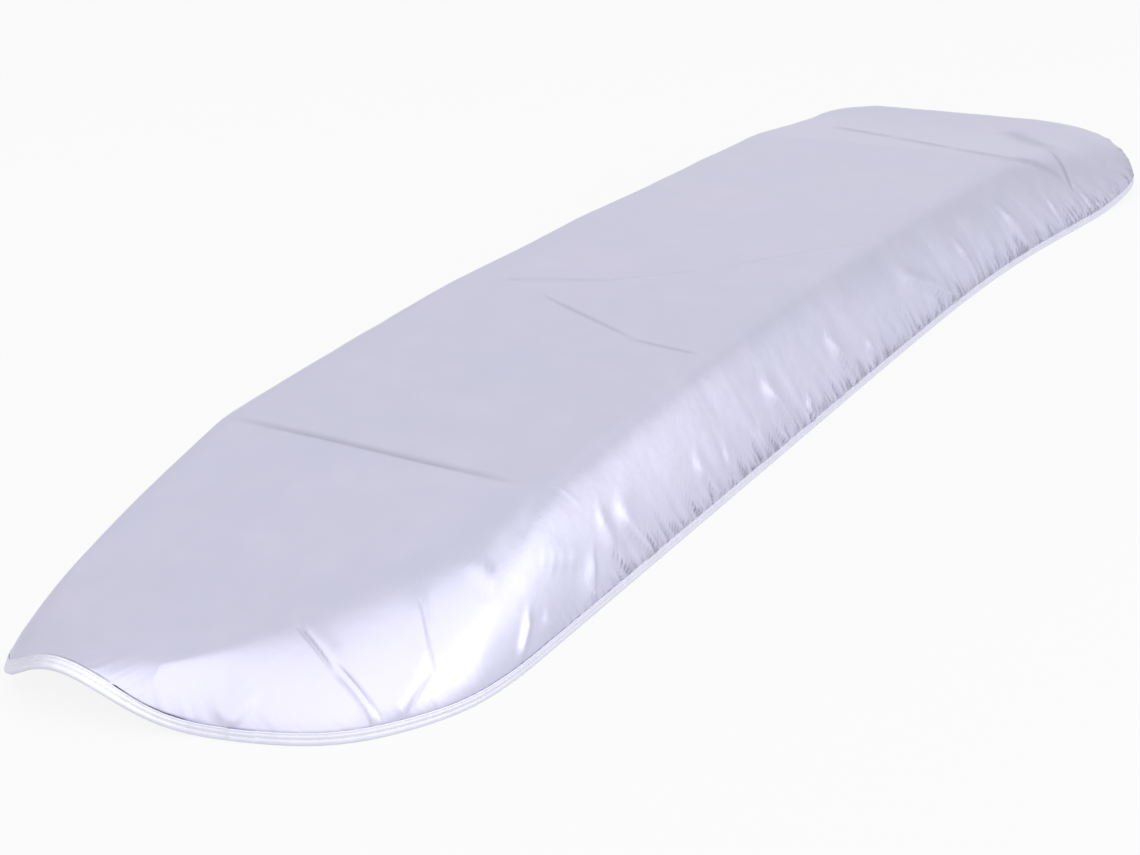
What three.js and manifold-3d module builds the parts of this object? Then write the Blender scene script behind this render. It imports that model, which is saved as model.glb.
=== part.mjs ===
// Elasticated ironing board cover, lying on a table the right way up with its nose towards low X.
// A silver coated cloth lies on a sponge pad. A folded tape binds both round the rim, and an
// elastic cord runs inside the tape and draws the rim in under the edge of the board.
import * as THREE from "three";
import { mergeVertices } from "three/addons/utils/BufferGeometryUtils.js";
import Module from "manifold-3d";

const wasm = await Module();
wasm.setup();

// Driving dimensions of the rim in plan, in millimetres
const rimLength = 1350;
const rimWidth = 313;
const rimWidening = 19;
const nearNoseLength = 167;
const nearNoseSquareness = 5.9;
const farNoseLength = 157;
const farNoseSquareness = 3.2;
const rimCornerRadius = 70;
const noseSlant = 51;
const noseSlantReach = 90;
const nearCornerFlare = 46;
const farCornerFlare = 17;
const cornerFlareSetback = 13;
const cornerFlareReach = 264;

// The shoulder, where the skirt turns over into the top panel
const shoulderNoseInset = 20;
const shoulderEndInset = 44;
const nearSideInset = 36;
const nearShoulderLength = 150;
const nearShoulderSquareness = 1.15;
const farSideInset = 29;
const farShoulderLength = 87;
const farShoulderSquareness = 2.8;
const shoulderCornerRadius = 63;
const shoulderFlareShare = 0.65;
const spineNoseSpread = 110;
const spineEndSpread = 120;

// Heights of the top panel over the table and where its packing folds cross it
const noseTipHeight = 28;
const noseDipX = 80;
const noseDipHeight = 47;
const noseFoldX = 221;
const noseFoldHeight = 84;
const levelStartX = 474;
const levelLength = 190;
const levelHeight = 97;
const endFoldSetback = 285;
const endFoldHeight = 88;
const endDipSetback = 107;
const endDipHeight = 67;
const endEdgeHeight = 70;
const foldSoftening = 20;
const noseTiltShare = 0.05;
const noseTiltX = 40;
const noseTiltReach = 100;
const leastSkirtHeight = 2;

// How far the rim lifts off the table at the nose and at the square end
const noseLift = 32;
const noseLiftReach = 152;
const noseLiftSideShare = 0.35;
const noseLiftSpreadShare = 0.3;
const endLift = 24;
const endLiftReach = 30;
const cornerLift = 15;
const cornerLiftReach = 80;

// Section of the skirt between rim and shoulder
const skirtBulgeShare = 0.1;
const skirtRiseShare = 0.51;
const skirtTurnShare = 0.5;
const noseTurnShare = 0.2;
const noseTurnReach = 120;
const skirtUndersideShare = 0.3;

// Cloth, sponge, tape and elastic
const clothThickness = 0.5;
const spongeThickness = 4;
const spongeSewnThickness = 2;
const tapeWidth = 8;
const tapeThickness = 0.6;
const tapeLapLength = 16;
const tapeLapShare = 0.035;
const tapeTwistShare = 0.01;
const elasticDiameter = 2.6;
const seatGap = 0.3;
const footCut = 0.5;

// Main folds that the elastic draws into the skirt, as shares of the way round the rim
const skirtFoldDepth = 7;
const skirtFoldWidth = 50;
const nearFoldShares = [0.07, 0.12, 0.17, 0.21, 0.26, 0.31, 0.36, 0.41, 0.45];
const farFoldShares = [0.55, 0.6, 0.64, 0.69, 0.74, 0.79, 0.85, 0.9, 0.95];

// Counts of the mesh
const stationCount = 64;
const endCrowdingShare = 0.3;
const noseCrowdingShare = 0.4;
const elasticSides = 6;
const noseSteps = 40;
const skirtRowShares = [0.3, 0.55, 0.78, 1];
const topRowShares = [0.35, 0.7, 1];
const foldRowShares = [0.6, 1, 0.55];

// A bend of a straight slope, rounded by an arc of a parabola
function bend(distance, softening) {
  if (distance < -softening) return 0;
  if (distance > softening) return distance;
  return (distance + softening) ** 2 / (4 * softening);
}

// Height of the top panel, straight between its folds, with the nose tilted to the far side
const ridgePoints = [
  new THREE.Vector2(0, noseTipHeight),
  new THREE.Vector2(noseDipX, noseDipHeight),
  new THREE.Vector2(noseFoldX, noseFoldHeight),
  new THREE.Vector2(levelStartX, levelHeight),
  new THREE.Vector2(levelStartX + levelLength, levelHeight),
  new THREE.Vector2(rimLength - endFoldSetback, endFoldHeight),
  new THREE.Vector2(rimLength - endDipSetback, endDipHeight),
  new THREE.Vector2(rimLength, endEdgeHeight),
];
const ridgeSlopes = ridgePoints.slice(1).map((point, i) => {
  return (point.y - ridgePoints[i].y) / (point.x - ridgePoints[i].x);
});

function topHeight(x, y) {
  let height = noseTipHeight + ridgeSlopes[0] * x;
  for (let i = 1; i < ridgeSlopes.length; i++) {
    height += (ridgeSlopes[i] - ridgeSlopes[i - 1]) * bend(x - ridgePoints[i].x, foldSoftening);
  }
  return height - noseTiltShare * y * hump(x - noseTiltX, noseTiltReach);
}

// Half of an outline in plan, from the nose tip along one side to the middle of the square end
function halfOutline({ start, end, halfWidth, noseLength, noseFullness, squareness, cornerRadius }) {
  const nose = [];
  for (let i = 1; i <= noseSteps; i++) {
    const turn = ((i / noseSteps) * Math.PI) / 2;
    const along = start + noseLength * (1 - Math.cos(turn) ** (2 / noseFullness));
    const across = halfWidth * Math.sin(turn) ** (2 / squareness);
    nose.push(new THREE.Vector2(along, across));
  }
  const path = new THREE.Path();
  path.moveTo(start, 0);
  path.splineThru(nose);
  path.lineTo(end - cornerRadius, halfWidth);
  path.absarc(end - cornerRadius, halfWidth - cornerRadius, cornerRadius, Math.PI / 2, 0, true);
  path.lineTo(end, 0);
  return path;
}

function rimHalf(noseLength, squareness) {
  return halfOutline({
    start: 0,
    end: rimLength,
    halfWidth: rimWidth / 2,
    noseLength,
    noseFullness: 2,
    squareness,
    cornerRadius: rimCornerRadius,
  });
}
const rimHalves = {
  nearSide: rimHalf(nearNoseLength, nearNoseSquareness),
  farSide: rimHalf(farNoseLength, farNoseSquareness),
};

function shoulderHalf(sideInset, noseLength, squareness) {
  return halfOutline({
    start: shoulderNoseInset,
    end: rimLength - shoulderEndInset,
    halfWidth: rimWidth / 2 - sideInset,
    noseLength,
    noseFullness: squareness,
    squareness,
    cornerRadius: shoulderCornerRadius,
  });
}
const shoulderHalves = {
  nearSide: shoulderHalf(nearSideInset, nearShoulderLength, nearShoulderSquareness),
  farSide: shoulderHalf(farSideInset, farShoulderLength, farShoulderSquareness),
};

function hump(distance, reach) {
  return Math.exp(-((distance / reach) ** 2));
}

// A point of an outline at a share of the way round: up the near side, back along the far side.
// The cover widens towards its square end and flares out at the corners there.
function outlinePoint({ nearSide, farSide }, share, flareShare) {
  const near = share <= 1 / 2;
  const point = near ? nearSide.getPointAt(2 * share) : farSide.getPointAt(2 - 2 * share);
  const flare = flareShare * (near ? nearCornerFlare : farCornerFlare);
  const widening = (rimWidening / 2) * (point.x / rimLength - 1 / 2);
  const spread = widening + flare * hump(point.x - (rimLength - cornerFlareSetback), cornerFlareReach);
  const y = point.y * (1 + spread / (rimWidth / 2));
  return new THREE.Vector3(point.x, near ? -y : y, 0);
}

function rimPoint(share) {
  const point = outlinePoint(rimHalves, share, 1);
  const side = point.y / (rimWidth / 2);
  point.x -= noseSlant * side * hump(point.x, noseSlantReach);
  const noseRise = noseLift * hump(point.x, noseLiftReach);
  point.z = noseRise * hump(side - noseLiftSideShare, noseLiftSpreadShare);
  point.z += endLift * hump(rimLength - point.x, endLiftReach);
  point.z += cornerLift * hump(rimLength - cornerFlareSetback - point.x, cornerLiftReach);
  return point;
}

function shoulderPoint(share, rim) {
  const point = outlinePoint(shoulderHalves, share, shoulderFlareShare);
  point.z = Math.max(topHeight(point.x, point.y), rim.z + leastSkirtHeight);
  return point;
}

// The skirt's section: up from the rim, bulging out a little, and over into the top panel
function skirtCurve(rim, shoulder) {
  const inward = new THREE.Vector3(shoulder.x - rim.x, shoulder.y - rim.y, 0);
  const outward = inward.clone().normalize().negate();
  const height = shoulder.z - rim.z;
  const bulge = skirtBulgeShare * height;
  const lower = rim.clone().addScaledVector(outward, bulge);
  lower.z += skirtRiseShare * height;
  const sharper = (skirtTurnShare - noseTurnShare) * hump(shoulder.x, noseTurnReach);
  const upper = shoulder.clone().addScaledVector(inward, sharper - skirtTurnShare);
  upper.addScaledVector(outward, bulge / 2);
  const lowest = rim.z + skirtUndersideShare * height;
  upper.z = Math.min(Math.max(topHeight(upper.x, upper.y), lowest), shoulder.z);
  return new THREE.CubicBezierCurve3(rim, lower, upper, shoulder);
}

// Shares of the way round at which the cover has a section, closer together round both ends,
// with two more pairs where the tape laps and their mirror images on the other side
const roundLength = rimHalves.nearSide.getLength() + rimHalves.farSide.getLength();
const evenShares = Array.from({ length: stationCount }, (unused, i) => {
  const turn = (2 * Math.PI * i) / stationCount;
  const crowding = (endCrowdingShare / 2) * Math.sin(2 * turn) + noseCrowdingShare * Math.sin(turn);
  return (turn - crowding) / (2 * Math.PI);
});
const lapEndShare = tapeLapShare + tapeLapLength / roundLength;
const lapRamp = tapeThickness / roundLength;
const lapShares = [tapeLapShare - lapRamp, tapeLapShare, lapEndShare, lapEndShare + lapRamp];
const mirroredShares = lapShares.map((share) => 1 - share);
const shares = [...evenShares, ...lapShares, ...mirroredShares].sort((a, b) => a - b);
const count = shares.length;
const tapeChannel = 3 * seatGap + clothThickness + spongeSewnThickness;
const elasticRadius = elasticDiameter / 2;
const edgeDistance = tapeThickness + elasticDiameter + 3 * seatGap;
const skirtStart = tapeWidth + 2 * seatGap;

// Depth of the elastic's folds at a place round the rim, each at the section nearest to it
function nearestShare(place) {
  return evenShares.reduce((best, share) => {
    return Math.abs(share - place) < Math.abs(best - place) ? share : best;
  });
}
const foldPlaces = [...nearFoldShares, ...farFoldShares].map(nearestShare);

function skirtFold(share) {
  let depth = 0;
  for (const place of foldPlaces) {
    depth += skirtFoldDepth * hump((share - place) * roundLength, skirtFoldWidth / 2);
  }
  return depth;
}

// The direction up the foot of a skirt
function footDirection(rim, skirt) {
  const tapeTop = skirt.getPointAt(Math.min(skirtStart / skirt.getLength(), 1));
  return tapeTop.sub(rim).normalize();
}

// The direction up the tape, which is too stiff to twist as fast as the skirt does at the nose
function tapeDirection(share) {
  const up = new THREE.Vector3();
  for (const offset of [-1, 0, 1]) {
    const at = (share + offset * tapeTwistShare + 1) % 1;
    const rim = rimPoint(at);
    up.add(footDirection(rim, skirtCurve(rim, shoulderPoint(at, rim))));
  }
  return up.normalize();
}

// The rim raised so that the tape's inner leaf clears the table where the skirt leans in
function raisedRim(share, up) {
  const rim = rimPoint(share);
  const shoulder = shoulderPoint(share, rim);
  const inward = new THREE.Vector3(shoulder.x - rim.x, shoulder.y - rim.y, 0).normalize();
  rim.z += (tapeChannel - seatGap) * Math.max(up.dot(inward), 0);
  return rim;
}

// How far along the middle of the top the two sections that face each other there end
function spineDistance(share) {
  const place = Math.min(share, 1 - share);
  const [near, far] = [place, 1 - place].map((at) => outlinePoint(shoulderHalves, at, 0).x);
  const spineStart = shoulderNoseInset + spineNoseSpread;
  const spineEnd = rimLength - shoulderEndInset - spineEndSpread;
  return THREE.MathUtils.clamp((near + far) / 2, spineStart, spineEnd);
}

// One section of the cover's outer face, from the fold of the tape to the middle of the top
function sectionPoints(share) {
  const up = tapeDirection(share);
  const rim = raisedRim(share, up);
  const shoulder = shoulderPoint(share, rim);
  const skirt = skirtCurve(rim, shoulder);
  const length = skirt.getLength();
  const points = [0, edgeDistance, skirtStart].map((rise) => rim.clone().addScaledVector(up, rise));
  for (const place of skirtRowShares) {
    const distance = skirtStart + (length - skirtStart) * place;
    points.push(skirt.getPointAt(Math.min(distance / length, 1)));
  }
  const outward = new THREE.Vector3(rim.x - shoulder.x, rim.y - shoulder.y, 0).normalize();
  foldRowShares.forEach((place, i) => {
    points[3 + i].addScaledVector(outward, -place * skirtFold(share));
  });
  const spineX = spineDistance(share);
  for (const place of topRowShares) {
    const point = new THREE.Vector3(spineX, 0, 0);
    if (place < 1) point.lerpVectors(shoulder, point, place);
    point.z = topHeight(point.x, point.y);
    points.push(point);
  }
  return points;
}

const grid = shares.map(sectionPoints);
const lastRow = grid[0].length - 1;
const tapeTopRow = 2;

function station(k) {
  return grid[(k + count) % count];
}

// Directions at the rim: up the skirt, and square out of it
function rimFrame(k) {
  const along = station(k + 1)[0].clone().sub(station(k - 1)[0]).normalize();
  const up = station(k)[1].clone().sub(station(k)[0]).normalize();
  return { up, out: along.cross(up).normalize() };
}

// The outward direction of the face at a crossing of the grid
function outwardAt(k, row) {
  if (row === lastRow) {
    const { x, y } = station(k)[row];
    const reach = foldSoftening;
    const slope = (topHeight(x + reach, y) - topHeight(x - reach, y)) / (2 * reach);
    const lean = (topHeight(x, y + reach) - topHeight(x, y - reach)) / (2 * reach);
    return new THREE.Vector3(-slope, -lean, 1).normalize();
  }
  if (row <= tapeTopRow) return rimFrame(k).out;
  const along = station(k + 1)[row].clone().sub(station(k - 1)[row]);
  const up = station(k)[row + 1].clone().sub(station(k)[row - 1]);
  return along.cross(up).normalize();
}

const outward = grid.map((section, k) => section.map((point, row) => outwardAt(k, row)));

function layerPoint(k, row, depth) {
  const at = (k + count) % count;
  return grid[at][row].clone().addScaledVector(outward[at][row], -depth);
}

// A closed geometry from corner points, with coincident corners shared and empty faces dropped
function closedGeometry(corners) {
  const positions = corners.flatMap((corner) => corner.toArray());
  const loose = new THREE.BufferGeometry();
  loose.setAttribute("position", new THREE.Float32BufferAttribute(positions, 3));
  const merged = mergeVertices(loose, seatGap / 300);
  const index = merged.index.array;
  const kept = [];
  for (let i = 0; i < index.length; i += 3) {
    const [a, b, c] = [index[i], index[i + 1], index[i + 2]];
    if (a !== b && b !== c && c !== a) kept.push(a, b, c);
  }
  merged.setIndex(kept);
  return merged;
}

function pushQuad(corners, a, b, c, d) {
  corners.push(a, b, c, a, c, d);
}

// A sheet over the whole cover between an outer and an inner depth, given for each row
function sheetGeometry(outerDepth, innerDepths) {
  const corners = [];
  for (let k = 0; k < count; k++) {
    for (let row = 1; row < lastRow; row++) {
      const low = innerDepths[row];
      const high = innerDepths[row + 1];
      pushQuad(
        corners,
        layerPoint(k, row, outerDepth),
        layerPoint(k + 1, row, outerDepth),
        layerPoint(k + 1, row + 1, outerDepth),
        layerPoint(k, row + 1, outerDepth),
      );
      pushQuad(
        corners,
        layerPoint(k, row, low),
        layerPoint(k, row + 1, high),
        layerPoint(k + 1, row + 1, high),
        layerPoint(k + 1, row, low),
      );
    }
    pushQuad(
      corners,
      layerPoint(k, 1, innerDepths[1]),
      layerPoint(k + 1, 1, innerDepths[1]),
      layerPoint(k + 1, 1, outerDepth),
      layerPoint(k, 1, outerDepth),
    );
  }
  return closedGeometry(corners);
}

// A closed loop round the rim, swept from a section given as distances up and out of the rim
function rimLoopGeometry(sectionAt) {
  const rings = grid.map((section, k) => {
    const { up, out } = rimFrame(k);
    return sectionAt(shares[k]).map(([rise, proud]) => {
      return section[0].clone().addScaledVector(up, rise).addScaledVector(out, proud);
    });
  });
  const corners = [];
  rings.forEach((ring, k) => {
    const next = rings[(k + 1) % count];
    ring.forEach((point, i) => {
      const j = (i + 1) % ring.length;
      const rising = sectionAt(shares[k])[j][0] > sectionAt(shares[k])[i][0];
      if (rising) pushQuad(corners, point, ring[j], next[j], next[i]);
      else pushQuad(corners, ring[j], next[j], next[i], point);
    });
  });
  return closedGeometry(corners);
}

// The tape, folded over the rim with its two leaves and a hollow fold for the elastic
function tapeSection(share) {
  const lapped = share >= tapeLapShare && share <= lapEndShare;
  const outer = seatGap + tapeThickness;
  const inner = seatGap - tapeChannel;
  const lap = lapped ? tapeThickness : 0;
  return [
    [tapeWidth, seatGap],
    [tapeWidth, outer + lap],
    [tapeThickness, outer + lap],
    [0, outer - tapeThickness + lap],
    [0, inner],
    [tapeThickness, inner - tapeThickness],
    [tapeWidth, inner - tapeThickness],
    [tapeWidth, inner],
    [edgeDistance, inner],
    [tapeThickness, inner],
    [tapeThickness, seatGap],
    [edgeDistance, seatGap],
  ];
}

function elasticSection() {
  const rise = tapeThickness + seatGap + elasticRadius;
  const proud = seatGap - tapeChannel / 2;
  const points = [];
  for (let i = 0; i < elasticSides; i++) {
    const turn = (i / elasticSides) * 2 * Math.PI;
    points.push([rise + elasticRadius * Math.cos(turn), proud + elasticRadius * Math.sin(turn)]);
  }
  return points;
}

function solidOf(geometry) {
  const bare = geometry.clone();
  bare.deleteAttribute("normal");
  bare.deleteAttribute("uv");
  const merged = mergeVertices(bare.index ? bare : mergeVertices(bare));
  const vertProperties = new Float32Array(merged.attributes.position.array);
  const triVerts = new Uint32Array(merged.index.array);
  return new wasm.Manifold(new wasm.Mesh({ numProp: 3, vertProperties, triVerts }));
}

function geometryOf(solid) {
  const mesh = solid.getMesh();
  const geometry = new THREE.BufferGeometry();
  geometry.setAttribute("position", new THREE.BufferAttribute(mesh.vertProperties, 3));
  geometry.setIndex(new THREE.BufferAttribute(mesh.triVerts, 1));
  return geometry;
}

// The tape cut flat where it stands on the table
const tapeWhole = rimLoopGeometry(tapeSection);
tapeWhole.computeBoundingBox();
const tapeBox = tapeWhole.boundingBox;
const footHeight = tapeBox.min.z + footCut;
const cutDepth = 2 * tapeWidth;
const tableBlock = new THREE.BoxGeometry(2 * rimLength, 2 * rimLength, cutDepth);
tableBlock.translate(rimLength / 2, 0, footHeight - cutDepth / 2);
const tapeGeometry = geometryOf(solidOf(tapeWhole).subtract(solidOf(tableBlock)));

const spongeOuterDepth = clothThickness + seatGap;
const clothDepths = grid[0].map(() => clothThickness);
const spongeDepths = grid[0].map((point, row) => {
  const full = row > tapeTopRow + 1 ? spongeThickness : (spongeSewnThickness + spongeThickness) / 2;
  return spongeOuterDepth + (row <= tapeTopRow ? spongeSewnThickness : full);
});

function namedMesh(name, geometry, color, roughness, metalness) {
  const material = new THREE.MeshStandardMaterial({ color, roughness, metalness });
  geometry.computeVertexNormals();
  const mesh = new THREE.Mesh(geometry, material);
  mesh.name = name;
  return mesh;
}

const cover = new THREE.Group();
cover.add(namedMesh("cover_cloth", sheetGeometry(0, clothDepths), 0xc9c7dc, 0.42, 0.35));
cover.add(namedMesh("sponge_pad", sheetGeometry(spongeOuterDepth, spongeDepths), 0xe9e4d6, 0.95, 0));
cover.add(namedMesh("edge_tape", tapeGeometry, 0xd2d0dd, 0.6, 0.1));
cover.add(namedMesh("elastic_cord", rimLoopGeometry(elasticSection), 0xf2f0ea, 0.8, 0));

// The middle of the cover goes over the origin, with its foot on the plane of the table
const extent = new THREE.Box3().setFromObject(cover);
const middle = extent.getCenter(new THREE.Vector3());
cover.position.set(-middle.x, -middle.y, -footHeight);

export default cover;
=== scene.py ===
import math

import bmesh
import bpy
import numpy as np
from mathutils import Euler, Matrix, Vector


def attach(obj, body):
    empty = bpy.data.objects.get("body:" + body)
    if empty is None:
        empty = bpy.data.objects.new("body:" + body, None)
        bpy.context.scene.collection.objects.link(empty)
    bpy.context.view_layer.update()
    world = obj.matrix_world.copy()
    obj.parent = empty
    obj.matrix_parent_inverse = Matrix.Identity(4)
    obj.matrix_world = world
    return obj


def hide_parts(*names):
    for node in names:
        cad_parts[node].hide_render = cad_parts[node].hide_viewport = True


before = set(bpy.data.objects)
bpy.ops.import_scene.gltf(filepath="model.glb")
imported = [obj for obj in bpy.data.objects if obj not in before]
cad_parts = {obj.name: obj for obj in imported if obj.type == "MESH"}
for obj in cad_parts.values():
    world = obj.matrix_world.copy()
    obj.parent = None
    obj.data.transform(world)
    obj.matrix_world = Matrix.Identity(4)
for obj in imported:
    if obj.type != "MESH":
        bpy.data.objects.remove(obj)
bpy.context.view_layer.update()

# Camera: it stands off the near side of the nose, a little above the cover, and looks along it.
# Its place, bearing, dip and roll are those that lay the outline and the creases on the photograph.
camera_place = (-1.22045, -0.62186, 0.52153)
view_bearing = math.radians(32.23)
view_dip = math.radians(23.28)
view_roll = math.radians(-2.21)
photo_width_px = 1140
focal_length_px = 1703
sensor_width_mm = 36

camera_data = bpy.data.cameras.new("camera")
camera_data.sensor_fit = "HORIZONTAL"
camera_data.sensor_width = sensor_width_mm
camera_data.lens = focal_length_px / photo_width_px * sensor_width_mm
camera = bpy.data.objects.new("camera", camera_data)
bpy.context.scene.collection.objects.link(camera)
level_turn = Euler((math.pi / 2 - view_dip, 0, view_bearing - math.pi / 2)).to_matrix()
turned = level_turn @ Matrix.Rotation(view_roll, 3, "Z")
camera.matrix_world = Matrix.Translation(camera_place) @ turned.to_4x4()
bpy.context.scene.camera = camera

# Sponge pad: a sheet of open-cell sponge cut to the same outline as the cloth and lying under it.
# The tape nips its edge thinner. It takes the form of the whole cover: a blunt nose, sides that
# widen towards a square end, a skirt that the elastic draws in, and folds left by the packing.
rim_length, rim_width, rim_widening = 1.350, 0.313, 0.019
near_nose_length, near_nose_squareness = 0.167, 5.9
far_nose_length, far_nose_squareness = 0.157, 3.2
rim_corner_radius = 0.070
nose_slant, nose_slant_reach = 0.051, 0.090
near_corner_flare, far_corner_flare = 0.046, 0.017
corner_flare_setback, corner_flare_reach = 0.013, 0.264

shoulder_nose_inset, shoulder_end_inset = 0.020, 0.044
near_side_inset, near_shoulder_length, near_shoulder_squareness = 0.036, 0.150, 1.15
far_side_inset, far_shoulder_length, far_shoulder_squareness = 0.029, 0.087, 2.8
shoulder_corner_radius = 0.063
shoulder_flare_share = 0.65
spine_nose_spread, spine_end_spread, spine_ease_share = 0.110, 0.055, 2.2

nose_lift, nose_lift_reach = 0.032, 0.152
nose_lift_side_share, nose_lift_spread_share = 0.35, 0.3
end_lift, end_lift_reach = 0.024, 0.030
corner_lift, corner_lift_reach = 0.015, 0.080

# Distance along the cover, height of the top panel and softness of the bend at each fold
top_folds = (
    (0.080, 0.047, 0.022),
    (0.221, 0.084, 0.008),
    (0.474, 0.097, 0.040),
    (0.664, 0.097, 0.040),
    (rim_length - 0.285, 0.088, 0.009),
    (rim_length - 0.107, 0.067, 0.024),
)
nose_tip_height, end_edge_height = 0.028, 0.070
nose_tilt_share, nose_tilt_x, nose_tilt_reach = 0.05, 0.040, 0.100
tip_raise, tip_raise_x, tip_raise_y, tip_raise_reach = 0.0058, 0.018, 0.052, 0.055

skirt_bulge_share, skirt_rise_share = 0.045, 0.40
skirt_turn_share, skirt_underside_share = 0.45, 0.3
nose_turn_share, nose_turn_reach = 0.2, 0.120
least_skirt_height, raised_fade_share = 0.002, 0.5

cloth_thickness, sponge_thickness, sponge_sewn_thickness = 0.0005, 0.004, 0.002
seat_gap = 0.0003
tape_width, tape_thickness, elastic_diameter = 0.008, 0.0006, 0.0026
tape_channel = 3 * seat_gap + cloth_thickness + sponge_sewn_thickness
cloth_edge_rise = tape_thickness + elastic_diameter + 3 * seat_gap
skirt_start, tape_middle_rise = tape_width + 2 * seat_gap, 0.006
tape_rises = (cloth_edge_rise, tape_middle_rise, skirt_start)
curve_steps, slope_reach, least_length = 96, 0.002, 1e-12
tape_twist_share = 0.010
# The rim is drawn from its nose tip on the table. This puts it where the solids' box is centred
# on the frame's origin and the tape's foot is on its floor.
rim_frame_place = np.array((-0.667465, 0.013108, -0.000453))


def hump(distance, reach):
    return np.exp(-((distance / reach) ** 2))


def smooth_step(value, low, high):
    part = np.clip((value - low) / (high - low), 0, 1)
    return part * part * (3 - 2 * part)


def top_height(x, y):
    """Height of the top panel, straight between its folds, with the nose tilted to the far side."""
    places = [0, *(fold[0] for fold in top_folds), rim_length]
    heights = [nose_tip_height, *(fold[1] for fold in top_folds), end_edge_height]
    slopes = np.diff(heights) / np.diff(places)
    height = nose_tip_height + slopes[0] * x
    for (place, _, softness), change in zip(top_folds, np.diff(slopes)):
        past = x - place
        bent = np.where(past > softness, past, (past + softness) ** 2 / (4 * softness))
        height = height + change * np.where(past < -softness, 0, bent)
    raised = tip_raise * hump(x - tip_raise_x, tip_raise_reach)
    height += raised * hump(y - tip_raise_y, tip_raise_reach)
    return height - nose_tilt_share * y * hump(x - nose_tilt_x, nose_tilt_reach)


def half_outline(start, end, half_width, nose_length, fullness, squareness, corner_radius):
    """Half of an outline in plan: its shares of the way, distances along and half widths."""
    turn = np.linspace(0, math.pi / 2, 2 * curve_steps)
    nose_x = start + nose_length * (1 - np.cos(turn) ** (2 / fullness))
    nose_y = half_width * np.sin(turn) ** (2 / squareness)
    corner_x = end - corner_radius * (1 - np.sin(turn))
    corner_y = half_width - corner_radius * (1 - np.cos(turn))
    x, y = np.concatenate((nose_x, corner_x, [end])), np.concatenate((nose_y, corner_y, [0]))
    run = np.concatenate(([0], np.cumsum(np.hypot(np.diff(x), np.diff(y)))))
    return run / run[-1], x, y, run[-1]


def rim_half(nose_length, squareness):
    return half_outline(0, rim_length, rim_width / 2, nose_length, 2, squareness, rim_corner_radius)


def shoulder_side(side_inset, nose_length, squareness):
    return half_outline(
        shoulder_nose_inset,
        rim_length - shoulder_end_inset,
        rim_width / 2 - side_inset,
        nose_length,
        squareness,
        squareness,
        shoulder_corner_radius,
    )


rim_near = rim_half(near_nose_length, near_nose_squareness)
rim_far = rim_half(far_nose_length, far_nose_squareness)
shoulder_near = shoulder_side(near_side_inset, near_shoulder_length, near_shoulder_squareness)
shoulder_far = shoulder_side(far_side_inset, far_shoulder_length, far_shoulder_squareness)
whole_rim = rim_near[3] + rim_far[3]


def outline_points(near, far, share, flare_share):
    """Points of an outline: up the near side from the nose tip, then back along the far side."""
    is_near = share <= 0.5
    way = np.where(is_near, 2 * share, 2 - 2 * share)
    x = np.where(is_near, np.interp(way, near[0], near[1]), np.interp(way, far[0], far[1]))
    y = np.where(is_near, -np.interp(way, near[0], near[2]), np.interp(way, far[0], far[2]))
    flare = flare_share * np.where(is_near, near_corner_flare, far_corner_flare)
    spread = flare * hump(x - (rim_length - corner_flare_setback), corner_flare_reach)
    spread += rim_widening / 2 * (x / rim_length - 0.5)
    return np.stack((x, y * (1 + spread / (rim_width / 2)), np.zeros_like(x)), axis=-1)


def skirt_curves(rim, shoulder):
    """The skirt's sections: up from the rim, out a little, and over into the top panel."""
    inward = (shoulder - rim) * (1, 1, 0)
    outward = -inward / np.linalg.norm(inward, axis=-1, keepdims=True)
    height = (shoulder - rim)[:, 2:]
    lower = rim + outward * skirt_bulge_share * height
    lower[:, 2:] += skirt_rise_share * height
    near_nose = hump(shoulder[:, :1], nose_turn_reach)
    turn_share = skirt_turn_share + (nose_turn_share - skirt_turn_share) * near_nose
    upper = shoulder - turn_share * inward + outward * skirt_bulge_share / 2 * height
    lowest = rim[:, 2] + skirt_underside_share * height[:, 0]
    level = top_height(upper[:, 0], upper[:, 1])
    upper[:, 2] = np.minimum(np.maximum(level, lowest), shoulder[:, 2])
    t = np.linspace(0, 1, curve_steps)[None, :, None]
    corners = [point[:, None, :] for point in (rim, lower, upper, shoulder)]
    weights = ((1 - t) ** 3, 3 * t * (1 - t) ** 2, 3 * t**2 * (1 - t), t**3)
    curve = sum(weight * corner for weight, corner in zip(weights, corners))
    steps = np.linalg.norm(np.diff(curve, axis=1), axis=-1)
    run = np.concatenate((np.zeros((len(rim), 1)), np.cumsum(steps, axis=1)), axis=1)
    return curve, run


def along_curves(curve, run, distance):
    """The point of each curve at its own distance along it."""
    points = [
        [np.interp(d, line_run, line[:, axis]) for axis in range(3)]
        for line, line_run, d in zip(curve, run, distance)
    ]
    return np.array(points)


def rim_and_shoulder(share):
    """Points of the rim and of the shoulder over it."""
    rim = outline_points(rim_near, rim_far, share, 1)
    side = rim[:, 1] / (rim_width / 2)
    rim[:, 0] -= nose_slant * side * hump(rim[:, 0], nose_slant_reach)
    rise = nose_lift * hump(rim[:, 0], nose_lift_reach)
    rim[:, 2] = rise * hump(side - nose_lift_side_share, nose_lift_spread_share)
    rim[:, 2] += end_lift * hump(rim_length - rim[:, 0], end_lift_reach)
    before_corner = rim_length - corner_flare_setback - rim[:, 0]
    rim[:, 2] += corner_lift * hump(before_corner, corner_lift_reach)
    shoulder = outline_points(shoulder_near, shoulder_far, share, shoulder_flare_share)
    level = top_height(shoulder[:, 0], shoulder[:, 1])
    shoulder[:, 2] = np.maximum(level, rim[:, 2] + least_skirt_height)
    return rim, shoulder


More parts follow.
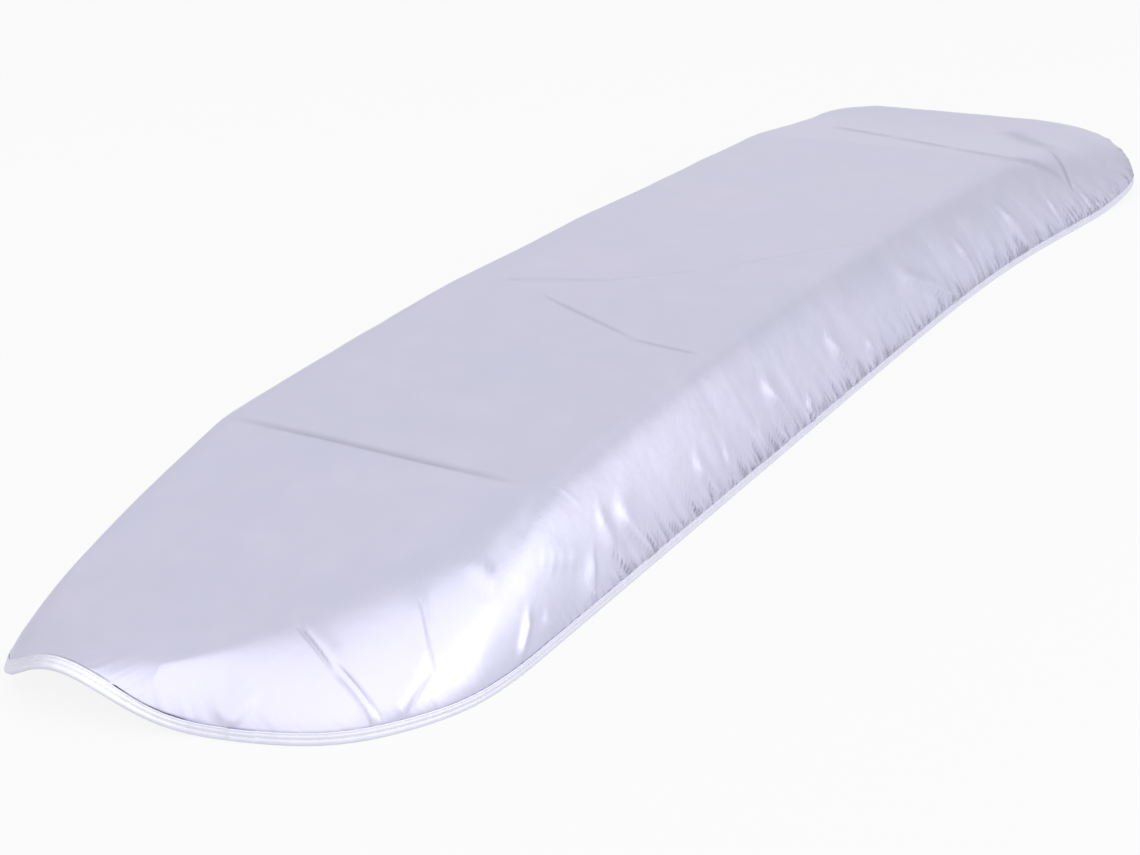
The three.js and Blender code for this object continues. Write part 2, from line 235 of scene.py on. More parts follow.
def tape_direction(share):
    """The direction up the tape, which is too stiff to twist as fast as the skirt at the nose."""
    total = np.zeros((len(share), 3))
    for offset in (-tape_twist_share, 0, tape_twist_share):
        rim, shoulder = rim_and_shoulder(np.mod(share + offset, 1))
        curve, run = skirt_curves(rim, shoulder)
        up = along_curves(curve, run, np.full(len(share), skirt_start)) - rim
        total += up / np.linalg.norm(up, axis=-1, keepdims=True)
    return total / np.linalg.norm(total, axis=-1, keepdims=True)


def rim_and_skirt(share):
    """The rim, the way up its tape, the way out of it, the shoulder, and the skirt's sections."""
    up = tape_direction(share)
    rim, shoulder = rim_and_shoulder(share)
    inward = (shoulder - rim) * (1, 1, 0)
    inward /= np.linalg.norm(inward, axis=-1, keepdims=True)
    lean = np.maximum((up * inward).sum(axis=-1), 0)
    rim[:, 2] += (tape_channel - seat_gap) * lean
    shoulder[:, 2] = np.maximum(shoulder[:, 2], rim[:, 2] + least_skirt_height)
    curve, run = skirt_curves(rim, shoulder)
    out = np.cross(np.roll(rim, -1, axis=0) - np.roll(rim, 1, axis=0), up)
    out /= np.linalg.norm(out, axis=-1, keepdims=True)
    return rim, up, out, shoulder, curve, run


def cover_face(share, skirt_shares, top_shares):
    """The cover's outer face over a grid of sections, how far each point is up from the rim, and
    where it lies in the flat cut."""
    rim, up, _, shoulder, curve, run = rim_and_skirt(share)
    rows = [rim + up * rise for rise in tape_rises]
    for place in skirt_shares:
        rows.append(along_curves(curve, run, skirt_start + (run[:, -1] - skirt_start) * place))
    mirrored = np.minimum(share, 1 - share)
    x = outline_points(shoulder_near, shoulder_near, mirrored, 0)[:, 0]
    x = (x + outline_points(shoulder_far, shoulder_far, mirrored, 0)[:, 0]) / 2
    nose_part = (x - shoulder_nose_inset) / (spine_ease_share * spine_nose_spread)
    end_part = (rim_length - shoulder_end_inset - x) / (spine_ease_share * spine_end_spread)
    nose_part, end_part = np.clip(nose_part, 0, 1), np.clip(end_part, 0, 1)
    spine_x = x + spine_nose_spread * (1 - nose_part) ** 2
    spine_x -= spine_end_spread * (1 - end_part) ** 2
    spine = np.stack((spine_x, np.zeros_like(x), np.zeros_like(x)), axis=-1)
    raised = shoulder[:, 2] - top_height(shoulder[:, 0], shoulder[:, 1])
    for place in top_shares:
        point = shoulder + (spine - shoulder) * place
        point[:, 2] = top_height(point[:, 0], point[:, 1])
        point[:, 2] += raised * (1 - smooth_step(place, 0, raised_fade_share))
        rows.append(point)
    face = np.stack(rows, axis=1)
    steps = np.linalg.norm(np.diff(face, axis=1), axis=-1)
    first = np.full((len(share), 1), tape_rises[0])
    height = np.concatenate((first, tape_rises[0] + np.cumsum(steps, axis=1)), axis=1)
    inward = (shoulder - rim) * (1, 1, 0)
    inward /= np.linalg.norm(inward, axis=-1, keepdims=True)
    drop = np.maximum(run[:, -1:] - height, 0)
    flat = face[..., :2].copy()
    on_skirt = drop > 0
    spread = shoulder[:, None, :2] - inward[:, None, :2] * drop[..., None]
    flat[on_skirt] = spread[on_skirt]
    return face, height, flat


def face_normals(face):
    """Outward directions over a closed grid of sections, whose last row is the spine of the top."""
    along = np.roll(face, -1, axis=0) - np.roll(face, 1, axis=0)
    up = np.gradient(face, axis=1)
    normal = np.cross(along, up)
    normal /= np.maximum(np.linalg.norm(normal, axis=-1, keepdims=True), least_length)
    x, y = face[:, -1, 0], face[:, -1, 1]
    slope = top_height(x + slope_reach, y) - top_height(x - slope_reach, y)
    lean = top_height(x, y + slope_reach) - top_height(x, y - slope_reach)
    slope, lean = slope / (2 * slope_reach), lean / (2 * slope_reach)
    spine = np.stack((-slope, -lean, np.ones_like(slope)), axis=-1)
    normal[:, -1] = spine / np.linalg.norm(spine, axis=-1, keepdims=True)
    return normal


# The gathers: between stitches the drawn-in cloth stands up in small arches, over broader ones.
# Heights, reaches and slants wander from one arch to the next.
gather_seed = 41
gather_kinds = (
    # pitch, height, reach up the skirt, strength of the painted shade in the valleys between the
    # arches
    (0.0070, 0.0026, 0.013, 1.0),
    (0.0170, 0.0017, 0.019, 0.35),
    (0.0560, 0.0013, 0.045, 0.0),
)
gather_wander, gather_fullness = 0.35, 0.65
gather_slant, gather_slant_wander, gather_slant_run = 0.7, 0.5, 5
least_rise_share, rise_spread_share, rise_evenness = 0.35, 1.3, 1.5
least_reach_share, reach_spread_share, reach_sharpness = 0.5, 1.1, 1.4
gather_start_share = 0.2
nose_strength, side_starts, side_full = 0.10, 0.16, 0.28
end_easing, end_starts, end_full = 0.5, 0.84, 0.94


def gather_strength(share):
    """How much the rim is drawn in: least round the nose, most along the straight sides."""
    way = np.minimum(share, 1 - share) * 2
    strength = nose_strength + (1 - nose_strength) * smooth_step(way, side_starts, side_full)
    return strength * (1 - end_easing * smooth_step(way, end_starts, end_full))


def gathers(share, height, kinds):
    """How far the drawn-in cloth stands out, and how strongly painted shade darkens the valleys
    between its arches.
    """
    stand, valley_shade = np.zeros_like(height), np.zeros_like(height)
    side = np.where(share <= 0.5, 1, -1)
    strength = gather_strength(share)[:, None]
    above = np.maximum(height - tape_width, 0)
    for number, (pitch, rise, reach, valley_shade_strength) in kinds:
        random = np.random.default_rng(gather_seed + number)
        count = int(whole_rim / pitch)
        widths = 1 + gather_wander * (2 * random.random(count) - 1)
        edges = np.concatenate(([0], np.cumsum(widths) / widths.sum()))
        rises = least_rise_share + rise_spread_share * random.random(count) ** rise_evenness
        reaches = reach * (least_reach_share + reach_spread_share * random.random(count))
        slants = gather_slant + gather_slant_wander * (2 * random.random(count) - 1)
        slants = np.concatenate((slants, slants[: gather_slant_run - 1]))
        slants = np.convolve(slants, np.full(gather_slant_run, 1 / gather_slant_run), "valid")
        slant = side * np.interp(share, edges[:-1], slants)
        where = np.mod(slant[:, None] * above / whole_rim + share[:, None], 1)
        index = np.clip(np.searchsorted(edges, where, side="right") - 1, 0, count - 1)
        part = (where - edges[index]) / (edges[index + 1] - edges[index])
        arch = np.maximum(4 * part * (1 - part), 0) ** gather_fullness
        fade = np.exp(-((above / reaches[index]) ** reach_sharpness)) * strength * rises[index]
        # Painted shade: strongest in the valleys between the arches, where the folds would be
        # shaded
        valley_shade = np.maximum(valley_shade, valley_shade_strength * (1 - arch) ** 2 * fade)
        stand += rise * arch * fade * (1 - np.exp(-above / (pitch * gather_start_share)))
    return stand, valley_shade


wave_count, wave_steepness, wave_start_height = 14, 0.0006, 0.1
least_wave_length, wave_length_spread = 0.06, 0.16


def undulation(face, height):
    """Gentle waves of the top panel, as cloth keeps after lying folded."""
    random = np.random.default_rng(gather_seed)
    x, y = face[..., 0], face[..., 1]
    wave = np.zeros_like(x)
    for _ in range(wave_count):
        length = least_wave_length + wave_length_spread * random.random()
        bearing = math.pi * random.random()
        phase = 2 * math.pi * random.random()
        along = x * math.cos(bearing) + y * math.sin(bearing)
        wave += length * np.sin(2 * math.pi * along / length + phase)
    return wave_steepness * wave * smooth_step(height, skirt_start, wave_start_height)


def place_grid(points, close_rows=False, chart=None, shade=None):
    """A mesh from a grid of points, closed round the rim and, where asked, round its section."""
    points = np.concatenate((points, points[:1]), axis=0)
    if close_rows:
        points = np.concatenate((points, points[:, :1]), axis=1)
    columns, rows = points.shape[0] - 1, points.shape[1] - 1
    shape = bmesh.new()
    # The float attribute carries the strength of painted shade at each point
    if shade is not None:
        shade_layer = shape.verts.layers.float.new("valley_shade")
    bmesh.ops.create_grid(shape, x_segments=columns, y_segments=rows, size=1, calc_uvs=False)
    cells = {}
    for vertex in shape.verts:
        column = round((vertex.co.x + 1) / 2 * columns)
        row = round((vertex.co.y + 1) / 2 * rows)
        cells[vertex] = column % columns, row
        if shade is not None:
            vertex[shade_layer] = shade[cells[vertex]]
        vertex.co = points[column, row]
    if chart is not None:
        layer = shape.loops.layers.uv.new("cut")
        for face in shape.faces:
            for loop in face.loops:
                loop[layer].uv = chart[cells[loop.vert]]
    return shape


def finish_mesh(name, shape, merge_distance=2e-6):
    """The object of a shape whose doubles are merged and whose faces point outwards."""
    bmesh.ops.remove_doubles(shape, verts=shape.verts, dist=merge_distance)
    bmesh.ops.dissolve_degenerate(shape, edges=shape.edges, dist=merge_distance)
    for face in shape.faces:
        face.smooth = True
    mesh = bpy.data.meshes.new(name)
    shape.to_mesh(mesh)
    shape.free()
    piece = bpy.data.objects.new(name, mesh)
    bpy.context.scene.collection.objects.link(piece)
    return piece


sponge_columns, sponge_gather_share = 720, 0.6
sponge_skirt_rows = (0.05, 0.11, 0.18, 0.26, 0.35, 0.44, 0.53, 0.62, 0.71, 0.8, 0.9, 1)
sponge_top_rows = (0.12, 0.24, 0.37, 0.5, 0.64, 0.78, 0.9, 1)
loose_gap, loose_height = 0.0008, 0.03
sponge_share = np.arange(sponge_columns) / sponge_columns
sponge_face, sponge_height, _ = cover_face(sponge_share, sponge_skirt_rows, sponge_top_rows)
sponge_normal = face_normals(sponge_face)
all_gathers = list(enumerate(gather_kinds))
sponge_stand = sponge_gather_share * gathers(sponge_share, sponge_height, all_gathers[-1:])[0]
sponge_stand += undulation(sponge_face, sponge_height)
loose = smooth_step(sponge_height, tape_width, loose_height)
outer_depth = cloth_thickness + seat_gap + loose_gap * loose
inner_depth = outer_depth + sponge_sewn_thickness
inner_depth += (sponge_thickness - sponge_sewn_thickness) * loose
outer = sponge_face + sponge_normal * (sponge_stand - outer_depth)[..., None]
inner = sponge_face + sponge_normal * (sponge_stand - inner_depth)[..., None]
sponge_points = np.concatenate((outer[:, ::-1], inner), axis=1) + rim_frame_place
sponge = finish_mesh("sponge_sheet", place_grid(sponge_points))
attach(sponge, "root")
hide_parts("sponge_pad")


class Measure:
    """A number that varies over a surface. Sums on it add Math nodes to its material."""

    def __init__(self, finish, socket):
        self.finish, self.socket = finish, socket

    def combined(self, operation, first, second):
        return self.finish.node("ShaderNodeMath", {"operation": operation}, {0: first, 1: second})

    def __add__(self, other):
        return self.combined("ADD", self, other)

    def __sub__(self, other):
        return self.combined("SUBTRACT", self, other)

    def __rsub__(self, other):
        return self.combined("SUBTRACT", other, self)

    def __mul__(self, other):
        return self.combined("MULTIPLY", self, other)

    def turned(self, operation, other=0):
        return self.combined(operation, self, other)

    __radd__ = __add__


class Finish:
    """A material built node by node round one principled shader."""

    def __init__(self, name):
        self.material = bpy.data.materials.new(name)
        self.material.use_nodes = True
        self.tree = self.material.node_tree
        self.shader = self.tree.nodes["Principled BSDF"]

    def node(self, kind, settings=None, sockets=None, output=0):
        made = self.tree.nodes.new(kind)
        for name, value in (settings or {}).items():
            setattr(made, name, value)
        self.feed(made, sockets or {})
        return Measure(self, made.outputs[output])

    def feed(self, made, sockets):
        for name, value in sockets.items():
            if isinstance(value, Measure):
                self.tree.links.new(value.socket, made.inputs[name])
            else:
                made.inputs[name].default_value = value

    def surface(self, **sockets):
        self.feed(self.shader, {name.replace("_", " "): value for name, value in sockets.items()})
        return self.material

    def mixed(self, share, first, second):
        """A colour between two others, which the node's sockets 6 and 7 take."""
        sockets = {0: share, 6: first, 7: second}
        return self.node("ShaderNodeMix", {"data_type": "RGBA"}, sockets, output=2)

    def parts(self, vector):
        """The three numbers of a place."""
        split = self.node("ShaderNodeSeparateXYZ", None, {0: vector})
        return [Measure(self, end) for end in split.socket.node.outputs]

    def noise(self, place, scale, detail=2, roughness=0.5):
        sockets = {"Vector": place, "Scale": scale, "Detail": detail, "Roughness": roughness}
        return self.node("ShaderNodeTexNoise", None, sockets)

    def bump(self, height, strength, distance):
        sockets = {"Height": height, "Strength": strength, "Distance": distance}
        return self.node("ShaderNodeBump", None, sockets)


def colour(red, green, blue):
    """A colour as read off a screen, made linear, with full alpha."""
    return *(((part / 255 + 0.055) / 1.055) ** 2.4 for part in (red, green, blue)), 1


sponge_finish = Finish("open_cell_sponge")
place = sponge_finish.node("ShaderNodeTexCoord", output="Object")
cells = sponge_finish.node(
    "ShaderNodeTexVoronoi", {"feature": "F1"}, {"Vector": place, "Scale": 900, "Randomness": 1}
)
clouds = sponge_finish.noise(place, scale=14, detail=3)
pale_sponge, deep_sponge = colour(238, 234, 224), colour(224, 218, 204)
cloud_share, cell_share = 0.6, 0.3
mottle = clouds * cloud_share + cells * cell_share
sponge_tint = sponge_finish.mixed(mottle, pale_sponge, deep_sponge)
sponge_bump = sponge_finish.bump(cells, strength=0.5, distance=0.0005)
sponge.data.materials.append(
    sponge_finish.surface(Base_Color=sponge_tint, Roughness=0.95, Normal=sponge_bump)
)

# Cover cloth: one piece of plain-woven cloth with a satin silver coating, cut long and narrow
# with a blunt nose. It lies over the sponge, and the elastic in the tape gathers its edge.
cloth_columns, skirt_row_count, top_row_count, skirt_row_crowding = 2400, 22, 18, 1.35

# Folds of the skirt: where each starts and ends, as shares of the rim and heights up the cloth,
# the width of its side towards the nose, that of its other side, and how far it stands out
skirt_folds = (
    (0.0280, 0.076, 0.0343, 0.045, 0.0016, 0.007, 0.0014),
    (0.0345, 0.045, 0.0397, 0.009, 0.0022, 0.003, 0.0010),
    (0.0200, 0.026, 0.0154, 0.008, 0.0140, 0.003, 0.0014),
    (0.0530, 0.074, 0.0510, 0.037, 0.0120, 0.004, 0.0012),
    (0.0510, 0.037, 0.0435, 0.010, 0.0100, 0.003, 0.0010),
    (0.0633, 0.086, 0.0721, 0.066, 0.0030, 0.006, 0.0012),
    (0.0742, 0.058, 0.0675, 0.034, 0.0180, 0.018, 0.0005),
    (0.0892, 0.062, 0.1033, 0.040, 0.0022, 0.006, 0.0010),
    (0.0850, 0.032, 0.0812, 0.012, 0.0040, 0.004, 0.0020),
    (0.0900, 0.024, 0.0942, 0.009, 0.0030, 0.004, 0.0012),
    (0.1085, 0.036, 0.1071, 0.006, 0.0100, 0.003, 0.0022),
    (0.1112, 0.060, 0.1165, 0.034, 0.0026, 0.004, 0.0014),
    (0.1185, 0.054, 0.1295, 0.008, 0.0028, 0.012, 0.0022),
    (0.1510, 0.044, 0.1600, 0.008, 0.0024, 0.007, 0.0022),
    (0.1640, 0.038, 0.1675, 0.010, 0.0022, 0.005, 0.0014),
    (0.1800, 0.036, 0.1860, 0.008, 0.0024, 0.005, 0.0016),
    (0.1860, 0.060, 0.1995, 0.008, 0.0034, 0.009, 0.0034),
    (0.2060, 0.030, 0.2085, 0.010, 0.0040, 0.004, 0.0022),
    (0.2220, 0.056, 0.2355, 0.008, 0.0024, 0.008, 0.0026),
    (0.2430, 0.034, 0.2470, 0.012, 0.0035, 0.006, 0.0018),
    (0.2720, 0.064, 0.3050, 0.010, 0.0034, 0.008, 0.0032),
    (0.3110, 0.056, 0.3230, 0.012, 0.0026, 0.006, 0.0022),
    (0.3320, 0.038, 0.3405, 0.008, 0.0026, 0.006, 0.0020),
    (0.3480, 0.060, 0.3605, 0.010, 0.0026, 0.007, 0.0026),
    (0.3795, 0.044, 0.3850, 0.010, 0.0026, 0.006, 0.0020),
    (0.5300, 0.050, 0.5330, 0.012, 0.0080, 0.010, 0.0010),
    (0.6320, 0.060, 0.6200, 0.012, 0.0090, 0.005, 0.0030),
    (0.6960, 0.055, 0.6850, 0.012, 0.0110, 0.006, 0.0036),
    (0.7700, 0.062, 0.7560, 0.012, 0.0100, 0.005, 0.0034),
    (0.8360, 0.056, 0.8260, 0.012, 0.0090, 0.005, 0.0030),
    (0.8960, 0.060, 0.8880, 0.014, 0.0080, 0.006, 0.0026),
)
fold_fades_in, fold_fades_out, fold_start_reach = (-0.2, 0.25), (0.8, 1.2), 0.002


def skirt_creases(share, height):
    """The single folds, each steeper on its side towards the nose and dying out at its ends."""
    stand = np.zeros_like(height)
    for start, start_height, end, end_height, before, after, rise in skirt_folds:
        run, climb = (end - start) * whole_rim, end_height - start_height
        length = math.hypot(run, climb)
        past = (share[:, None] - start) * whole_rim
        above = height - start_height
        part = (past * run + above * climb) / length**2
        across = (above * run - past * climb) / length
        width = np.where(across < 0, before, after)
        taper = smooth_step(part, *fold_fades_in) * (1 - smooth_step(part, *fold_fades_out))
        stand += rise * hump(across, width) * taper
    return stand * (1 - np.exp(-np.maximum(height - tape_width, 0) / fold_start_reach))


cloth_share = np.arange(cloth_columns) / cloth_columns
skirt_rows = np.linspace(0, 1, skirt_row_count)[1:] ** skirt_row_crowding
top_rows = np.linspace(0, 1, top_row_count)[1:]
cloth_face, cloth_height, cloth_flat = cover_face(cloth_share, skirt_rows, top_rows)
cloth_normal = face_normals(cloth_face)
cloth_stand, cloth_valley_shade = gathers(cloth_share, cloth_height, all_gathers)
cloth_stand += skirt_creases(cloth_share, cloth_height)
cloth_stand += undulation(cloth_face, cloth_height)
cloth_points = cloth_face + cloth_normal * cloth_stand[..., None] + rim_frame_place
cloth = finish_mesh(
    "coated_cloth", place_grid(cloth_points, chart=cloth_flat, shade=cloth_valley_shade)
)
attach(cloth, "root")
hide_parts("cover_cloth")

# Creases of the top panel: where each starts and ends in plan, and its width and height. Those that
# fold in are painted a little darker, as painted shade in their valleys.
top_creases = (
    (0.2195, 0.130, 0.2190, -0.118, 0.0018, 0.00045),
    (0.2225, 0.125, 0.2215, -0.110, 0.0030, -0.00045),
    (0.2190, -0.110, 0.2450, -0.139, 0.0020, 0.00012),
    (0.5080, 0.094, 0.5420, 0.016, 0.0060, 0.00200),
    (0.5380, 0.024, 0.6030, -0.044, 0.0024, 0.00060),
    (0.5980, -0.040, 0.7300, -0.129, 0.0024, 0.00055),
    (0.4960, 0.049, 0.4430, -0.065, 0.0022, -0.00060),
    (0.4430, -0.060, 0.4360, -0.120, 0.0022, -0.00045),
    (0.4200, 0.009, 0.4400, -0.030, 0.0020, 0.00025),
    (1.1640, 0.092, 1.1280, 0.006, 0.0080, -0.00400),
    (1.1290, 0.010, 1.0900, -0.072, 0.0080, -0.00400),
    (1.0910, -0.068, 1.0640, -0.138, 0.0080, -0.00350),
    (1.0640, -0.134, 1.1400, -0.170, 0.0045, -0.00150),
    (1.2540, -0.072, 1.1620, -0.150, 0.0110, -0.00600),
    (1.1650, -0.146, 1.1450, -0.180, 0.0040, -0.00150),
    (0.0712, -0.054, 0.0588, -0.090, 0.0012, -0.00050),
    (0.0588, -0.088, 0.0548, -0.119, 0.0011, -0.00050),
    (0.0640, -0.088, 0.0600, -0.121, 0.0010, -0.00040),
    (0.1162, -0.108, 0.0930, -0.133, 0.0012, -0.00035),
    (0.0930, -0.131, 0.0690, -0.128, 0.0010, -0.00030),
)
crease_shade = 0.55
thread_pitch, thread_rise, patch_rise, grain_rise = 0.0005, 0.000006, 0.0006, 0.00006
worn_contrast, worn_level, worn_share = 2.2, 0.9, 0.5
valley_shade_share, valley_shade_limit = 0.9, 0.85
cloth_roughness, roughness_wander, cloth_metal = 0.36, 0.12, 0.95
pink_silver, blue_silver = colour(217, 212, 231), colour(208, 211, 232)
# The deep silver for the creases is painted shade along the folded-in creases; worn_silver is a
# random lighter tone
worn_silver, crease_shade_silver = colour(221, 218, 236), colour(184, 183, 202)
# Deep blue silver for the painted shade in the valleys between the gathers
valley_shade_silver = colour(138, 140, 176)

cloth_finish = Finish("silver_coated_cloth")
place = cloth_finish.node("ShaderNodeTexCoord", output="Object")
place_x, place_y, _ = cloth_finish.parts(place)
plan_x = place_x - float(rim_frame_place[0])
plan_y = place_y - float(rim_frame_place[1])
relief = crease_shading = 0
for x, y, end_x, end_y, width, rise in top_creases:
    run, side = end_x - x, end_y - y
    length = math.hypot(run, side)
    along = ((plan_x - x) * run + (plan_y - y) * side) * (2 / length**2) - 1
    across = ((plan_x - x) * side - (plan_y - y) * run) * (1 / (length * width))
    taper = (1 - along * along * along * along).turned("MAXIMUM")
    line = (across * across * -1).turned("EXPONENT") * taper
    relief += line * rise
    # Painted shade: a crease that folds in is darkened along its line
    if rise < 0:
        crease_shading += line * crease_shade

cut = cloth_finish.node("ShaderNodeTexCoord", output="UV")
cut_x, cut_y, _ = cloth_finish.parts(cut)
warp, weft = cut_x * (math.pi / thread_pitch), cut_y * (math.pi / thread_pitch)
weave = warp.turned("SINE") * weft.turned("SINE")
clouds = cloth_finish.noise(place, scale=9, detail=3, roughness=0.55)
patches = cloth_finish.noise(place, scale=34, roughness=0.6)
grain = cloth_finish.noise(cut, scale=420, roughness=0.6)
relief += weave * thread_rise + patches * patch_rise + grain * grain_rise
cloth_tint = cloth_finish.mixed(clouds, pink_silver, blue_silver)
worn = (patches * worn_contrast - worn_level).turned("MAXIMUM").turned("MINIMUM", 1)
cloth_tint = cloth_finish.mixed(worn * worn_share, cloth_tint, worn_silver)
# Painted shade darkens the folded-in creases
cloth_tint = cloth_finish.mixed(crease_shading.turned("MINIMUM", 1), cloth_tint, crease_shade_silver)
# Painted shade: the valleys between the gathers' arches are darkened towards a deep blue silver
valley_shade = cloth_finish.node("ShaderNodeAttribute", {"attribute_name": "valley_shade"}, output="Fac")
valley_shade = (valley_shade * valley_shade_share).turned("MINIMUM", valley_shade_limit)
cloth_tint = cloth_finish.mixed(valley_shade, cloth_tint, valley_shade_silver)
cloth_finish.surface(
    Base_Color=cloth_tint,
    Roughness=patches * roughness_wander + cloth_roughness,
    Metallic=cloth_metal,
    Normal=cloth_finish.bump(relief, strength=1, distance=1),
)
cloth.data.materials.append(cloth_finish.material)

# Elastic cord: a round braided cord that runs loose inside the fold of the tape and is a little
# stretched. Its ends are joined inside the lap.
elastic_columns, elastic_sides = 600, 12
elastic_share = np.arange(elastic_columns) / elastic_columns
elastic_turn = np.arange(elastic_sides) / elastic_sides * 2 * math.pi
elastic_rise = tape_thickness + seat_gap + elastic_diameter / 2 * (1 + np.cos(elastic_turn))
elastic_proud = seat_gap - tape_channel / 2 + elastic_diameter / 2 * np.sin(elastic_turn)


def round_rim(sections, rise, proud):
    """A grid of points round the rim, from their distances up the tape and out of it."""
    rim, up, out, *_ = sections
    points = rim[:, None] + up[:, None] * rise[..., None] + out[:, None] * proud[..., None]
    return points + rim_frame_place


elastic_points = round_rim(rim_and_skirt(elastic_share), elastic_rise, elastic_proud)
elastic = finish_mesh("elastic", place_grid(elastic_points, close_rows=True))
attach(elastic, "root")
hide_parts("elastic_cord")
elastic_finish = Finish("braided_elastic")
place = elastic_finish.node("ShaderNodeTexCoord", output="Object")
braid = elastic_finish.noise(place, scale=1500)
elastic_tint = elastic_finish.mixed(braid, colour(246, 244, 238), colour(226, 222, 212))
elastic.data.materials.append(elastic_finish.surface(Base_Color=elastic_tint, Roughness=0.8))

# Edge tape: a woven tape folded over the edges of cloth and sponge and sewn through with two
# rows of stitches, one along its free edge and one that keeps the elastic in the fold.
tape_columns = 1600
tape_share = np.arange(tape_columns) / tape_columns
tape_lap_length, tape_lap_share, tape_lap_edge = 0.016, 0.0150, 0.0012
tape_ripple, tape_ripple_pitch = 0.00008, 0.0092
upper_seam, lower_seam, seam_sink = 0.0068, 0.0041, 0.00030
upper_seam_side, lower_seam_side = 0.0005, 0.0006
edge_round, edge_round_rise, seam_swell = 0.0002, 0.0004, 0.0001
# Places where the fold turns, from the rim upwards
fold_turn, fold_side, fold_top, fold_depth = 0.0001, 0.0008, 0.0020, 0.0010
outer_line = seat_gap + tape_thickness
inner_line = seat_gap - tape_channel - tape_thickness
tape_section = [
    (tape_width, seat_gap),
    (tape_width, outer_line - edge_round),
    (tape_width - edge_round_rise, outer_line),
    (upper_seam + upper_seam_side, outer_line),
    (upper_seam, outer_line - seam_sink),
    (upper_seam - upper_seam_side, outer_line),
    ((upper_seam + lower_seam) / 2, outer_line + seam_swell),
    (lower_seam + lower_seam_side, outer_line),
    (lower_seam, outer_line - seam_sink),
    (lower_seam - lower_seam_side, outer_line),
    (fold_top, outer_line + edge_round),
    (fold_side, outer_line - edge_round),
    (fold_turn, outer_line - fold_depth),
    (0, (outer_line + inner_line) / 2),
    (fold_turn, inner_line + fold_depth),
    (fold_side, inner_line + edge_round),
    (fold_top, inner_line - edge_round),
    (lower_seam - lower_seam_side, inner_line),
    (lower_seam, inner_line + seam_sink),
    (lower_seam + lower_seam_side, inner_line),
    (upper_seam - upper_seam_side, inner_line),
    (upper_seam, inner_line + seam_sink),
    (upper_seam + upper_seam_side, inner_line),
    (tape_width - edge_round_rise, inner_line),
    (tape_width, inner_line + edge_round),
    (tape_width, inner_line + tape_thickness),
    (cloth_edge_rise, inner_line + tape_thickness),
    (tape_thickness, inner_line + tape_thickness),
    (tape_thickness, seat_gap),
    (cloth_edge_rise, seat_gap),
]
tape_rise, tape_proud = np.array(tape_section).T


def lap(share):
    """1 where one end of the tape lies over the other, 0 elsewhere."""
    past = (share - tape_lap_share) * whole_rim
    beyond = smooth_step(past - tape_lap_length, 0, tape_lap_edge)
    return smooth_step(past, 0, tape_lap_edge) * (1 - beyond)


outside = tape_proud > 0
lapped = np.where(outside & (tape_rise > tape_thickness), tape_thickness, 0)
ripple = tape_ripple * np.sin(2 * math.pi * tape_share * round(whole_rim / tape_ripple_pitch))
tape_stand = tape_proud + lap(tape_share)[:, None] * lapped + ripple[:, None] * outside
tape_points = round_rim(rim_and_skirt(tape_share), tape_rise, tape_stand)
# The table presses the foot of the tape flat
tape_points[..., 2] = np.maximum(tape_points[..., 2], 0)
tape = finish_mesh("binding_tape", place_grid(tape_points, close_rows=True))
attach(tape, "root")
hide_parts("edge_tape")
tape_finish = Finish("woven_tape")
place = tape_finish.node("ShaderNodeTexCoord", output="Object")
clouds = tape_finish.noise(place, scale=60)
tape_tint = tape_finish.mixed(clouds, colour(232, 232, 244), colour(221, 221, 235))
tape_weave = tape_finish.noise(place, scale=2600, detail=1)
tape_bump = tape_finish.bump(tape_weave, strength=0.6, distance=0.00012)
tape.data.materials.append(
    tape_finish.surface(Base_Color=tape_tint, Roughness=0.45, Metallic=0.7, Normal=tape_bump)
)

# Sewing thread: a lockstitch shows on both faces of the binding as a row of short dashes that
# dip between them into the tape. Two rows hold it, one by its free edge and one by the elastic.
stitch_pitch, stitch_steps, thread_radius, thread_sides = 0.003, 6, 0.00020, 5
thread_dip, thread_stand = 0.00035, 0.00012
stitch_count = round(whole_rim / stitch_pitch)
thread_share = np.arange(stitch_count * stitch_steps) / (stitch_count * stitch_steps)
thread_way = np.sqrt(np.abs(np.sin(math.pi * np.arange(len(thread_share)) / stitch_steps)))
thread_lap = lap(thread_share) * tape_thickness
thread_sections = rim_and_skirt(thread_share)
thread_turn = np.arange(thread_sides) / thread_sides * 2 * math.pi

thread_finish = Finish("sewing_thread")
place = thread_finish.node("ShaderNodeTexCoord", output="Object")
twist = thread_finish.noise(place, scale=1800, detail=1)
thread_tint = thread_finish.mixed(twist, colour(214, 214, 228), colour(236, 236, 244))
thread_finish.surface(Base_Color=thread_tint, Roughness=0.5, Metallic=0.2)

# Name, distance up the tape, distance out of the rim's line, and side of the tape
thread_rows = (
    ("outer_upper_stitches", upper_seam, outer_line, 1),
    ("outer_lower_stitches", lower_seam, outer_line, 1),
    ("inner_upper_stitches", upper_seam, inner_line, -1),
    ("inner_lower_stitches", lower_seam, inner_line, -1),
)
stand = thread_stand * thread_way - thread_dip * (1 - thread_way) - seam_sink / 2
for name, seam, line, face_side in thread_rows:
    proud = line + face_side * stand + max(face_side, 0) * thread_lap
    row_rise = seam + thread_radius * np.cos(thread_turn)
    row_proud = proud[:, None] + thread_radius * np.sin(thread_turn)
    row_points = round_rim(thread_sections, row_rise, row_proud)
    thread = finish_mesh(name, place_grid(row_points, close_rows=True))
    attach(thread, "root")
    thread.data.materials.append(thread_finish.material)

# The cloth is one flat sheet: its size and area are those of its edge, laid flat
flat_edge = cloth_flat[:, 0]
shifted = np.roll(flat_edge, -1, axis=0)
cut_area = abs((flat_edge[:, 0] * shifted[:, 1] - flat_edge[:, 1] * shifted[:, 0]).sum()) / 2
flat_length, flat_width = flat_edge.max(axis=0) - flat_edge.min(axis=0)

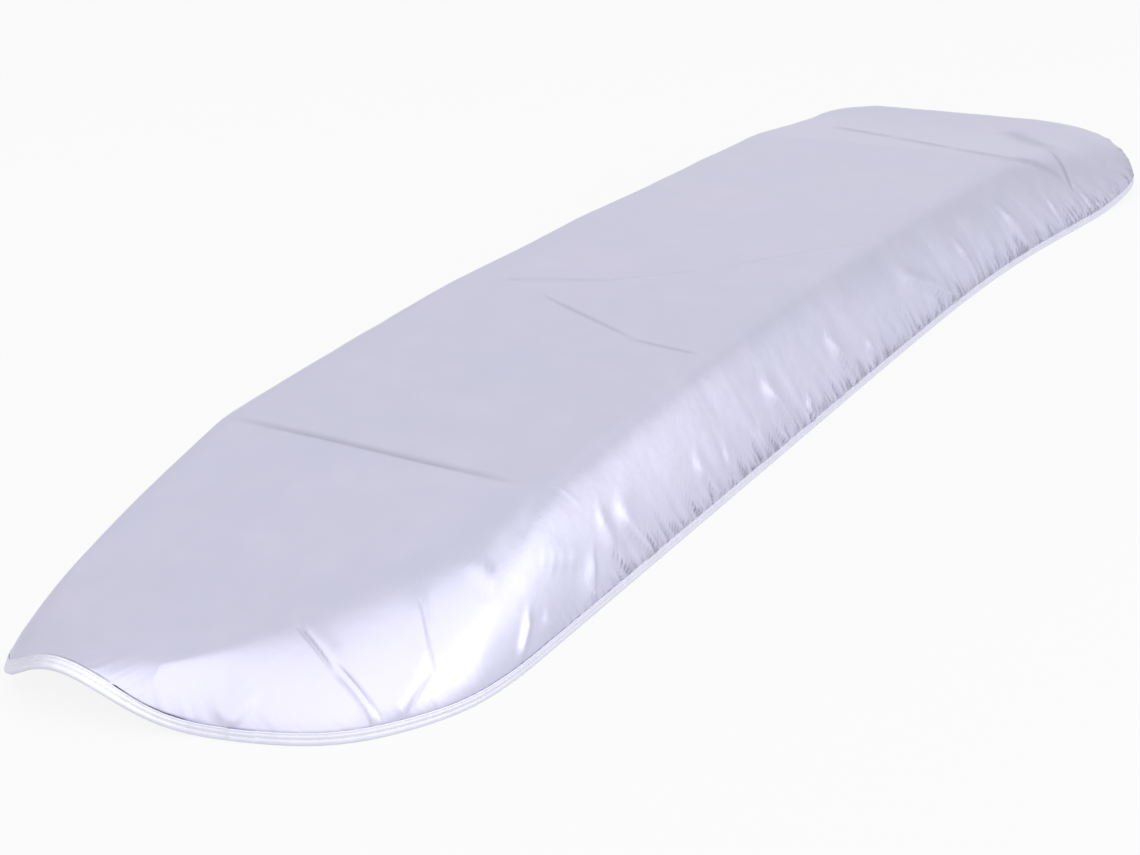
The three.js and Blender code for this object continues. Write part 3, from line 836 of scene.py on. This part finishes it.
# Table and studio: a plain white table in a pale room, with a broad soft light over the nose, a
# weaker one from behind and a low one from the near side, as for a picture taken for a shop.
table_half_length, seen_glow, mirrored_glow, room_strength = 6, 0.88, 0.6, 0.72
table_shape = bmesh.new()
bmesh.ops.create_grid(table_shape, x_segments=1, y_segments=1, size=table_half_length)
table = finish_mesh("table", table_shape)
table_finish = Finish("white_table")
camera_ray = table_finish.node("ShaderNodeLightPath", output="Is Camera Ray")
glossy_ray = Measure(table_finish, camera_ray.socket.node.outputs["Is Glossy Ray"])
glow = table_finish.node("ShaderNodeEmission", None, {"Color": (1, 1, 1, 1), "Strength": 1})
table_finish.surface(Base_Color=(0.62, 0.62, 0.64, 1), Roughness=0.9)
matt = Measure(table_finish, table_finish.shader.outputs[0])
glow_share = camera_ray * seen_glow + glossy_ray * mirrored_glow
blend = table_finish.node("ShaderNodeMixShader", None, {0: glow_share, 1: matt, 2: glow})
table_output = table_finish.tree.nodes["Material Output"]
table_finish.tree.links.new(blend.socket, table_output.inputs["Surface"])
table.data.materials.append(table_finish.material)

world = bpy.data.worlds.new("studio")
bpy.context.scene.world = world
world.use_nodes = True
background = world.node_tree.nodes["Background"]
background.inputs["Color"].default_value = (1, 1, 1, 1)
background.inputs["Strength"].default_value = room_strength


def soft_light(name, size, strength, place, target):
    """A rectangular light of so many metres and watts, turned towards a target."""
    data = bpy.data.lights.new(name, "AREA")
    data.shape = "RECTANGLE"
    data.size, data.size_y = size
    data.energy = strength
    light = bpy.data.objects.new(name, data)
    bpy.context.scene.collection.objects.link(light)
    aim = (Vector(target) - Vector(place)).to_track_quat("-Z", "Y")
    light.matrix_world = Matrix.Translation(place) @ aim.to_matrix().to_4x4()


soft_light("side_light", (5.6, 4.6), 60, (-1.6, -0.9, 1.75), (-0.3, -0.1, 0.05))
soft_light("back_light", (6.4, 4.8), 14, (1.9, 1.3, 1.9), (0.2, 0.0, 0.05))
soft_light("low_light", (2.2, 1.2), 10, (0.1, -1.75, 0.5), (0.0, 0.0, 0.05))

bpy.context.scene.view_settings.view_transform = "Standard"
